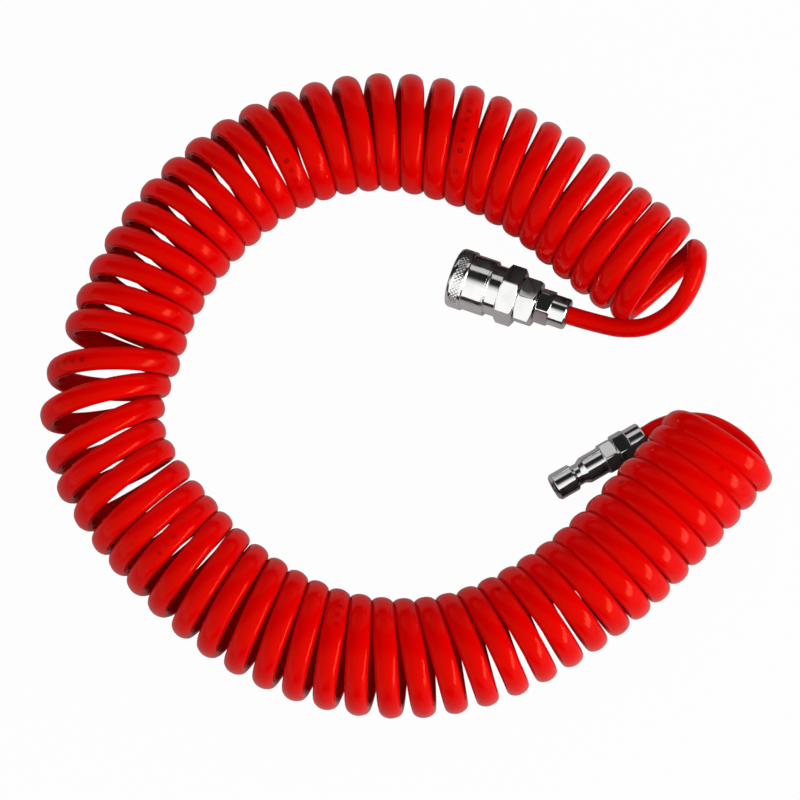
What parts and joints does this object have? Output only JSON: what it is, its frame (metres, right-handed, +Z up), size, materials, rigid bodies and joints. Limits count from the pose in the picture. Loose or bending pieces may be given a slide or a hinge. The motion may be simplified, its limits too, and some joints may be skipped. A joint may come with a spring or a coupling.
{
  "type": "recoil air hose",
  "caption": "Coiled polyurethane air hose bent into an open ring, with a quick-release socket on one end and its plug on the other.",
  "frame": {"origin": "middle of the floor under the whole part", "axes": "+Z up from the floor that the coil lies on; +X along the longer side of the ring of coils, from its closed side towards its open side; +Y from the plug's side of the opening towards the socket's"},
  "size_m": [0.3079, 0.2754, 0.049],
  "materials": {
    "hose_polyurethane": "gloss",
    "plated_sleeve": "polished",
    "plated_brass": "polished",
    "plated_steel": "polished",
    "bare_brass": "satin",
    "spring_steel": "satin",
    "ball_steel": "polished",
    "seal_rubber": "matte"
  },
  "bodies": {
    "hose": {"hose_coil": "hose_polyurethane", "socket_tail": "hose_polyurethane", "plug_tail": "hose_polyurethane", "socket_body": "plated_brass", "sleeve_snap_ring": "spring_steel", "plug_packing": "seal_rubber", "valve_spring": "spring_steel", "rear_adapter": "plated_brass", "adapter_seal": "seal_rubber", "socket_hose_nut": "plated_brass", "plug_body": "plated_steel", "plug_hose_nut": "plated_brass"},
    "sleeve_carrier": {"sleeve_spring": "spring_steel"},
    "sleeve": {"socket_sleeve": "plated_sleeve"},
    "valve": {"poppet_valve": "bare_brass", "valve_seal": "seal_rubber"},
    "ball_1": {"locking_ball_1": "ball_steel"},
    "ball_2": {"locking_ball_2": "ball_steel"},
    "ball_3": {"locking_ball_3": "ball_steel"},
    "ball_4": {"locking_ball_4": "ball_steel"},
    "ball_5": {"locking_ball_5": "ball_steel"},
    "ball_6": {"locking_ball_6": "ball_steel"}
  },
  "joints": [
    {"name": "sleeve_turn", "type": "hinge", "parent": "hose", "child": "sleeve_carrier", "pos_m": [0.0202, 0.05165, 0.013], "axis": [0.9263, -0.35, 0.1392], "continuous": true},
    {"name": "sleeve_pull", "type": "slide", "parent": "sleeve_carrier", "child": "sleeve", "axis": [0.9263, -0.35, 0.1392], "range_m": [0, 0.004], "stiffness_N_per_m": 800, "springref_m": -0.004, "deforming": ["sleeve_spring"]},
    {"name": "valve_push", "type": "slide", "parent": "hose", "child": "valve", "axis": [0.9263, -0.35, 0.1392], "range_m": [0, 0.004], "stiffness_N_per_m": 600, "springref_m": -0.004, "deforming": ["valve_spring"]},
    {"name": "ball_1_out", "type": "slide", "parent": "hose", "child": "ball_1", "axis": [0.1302, -0.0492, -0.9903], "range_m": [0, 0.00105]},
    {"name": "ball_2_out", "type": "slide", "parent": "hose", "child": "ball_2", "axis": [0.3712, 0.7855, -0.4951], "range_m": [0, 0.00105]},
    {"name": "ball_3_out", "type": "slide", "parent": "hose", "child": "ball_3", "axis": [0.241, 0.8347, 0.4951], "range_m": [0, 0.00105]},
    {"name": "ball_4_out", "type": "slide", "parent": "hose", "child": "ball_4", "axis": [-0.1302, 0.0492, 0.9903], "range_m": [0, 0.00105]},
    {"name": "ball_5_out", "type": "slide", "parent": "hose", "child": "ball_5", "axis": [-0.3712, -0.7855, 0.4951], "range_m": [0, 0.00105]},
    {"name": "ball_6_out", "type": "slide", "parent": "hose", "child": "ball_6", "axis": [-0.241, -0.8347, -0.4951], "range_m": [0, 0.00105]}
  ],
  "couplings": [
    {"joint": "ball_1_out", "follows": "sleeve_pull", "ratio": 0.2625},
    {"joint": "ball_2_out", "follows": "sleeve_pull", "ratio": 0.2625},
    {"joint": "ball_3_out", "follows": "sleeve_pull", "ratio": 0.2625},
    {"joint": "ball_4_out", "follows": "sleeve_pull", "ratio": 0.2625},
    {"joint": "ball_5_out", "follows": "sleeve_pull", "ratio": 0.2625},
    {"joint": "ball_6_out", "follows": "sleeve_pull", "ratio": 0.2625}
  ]
}
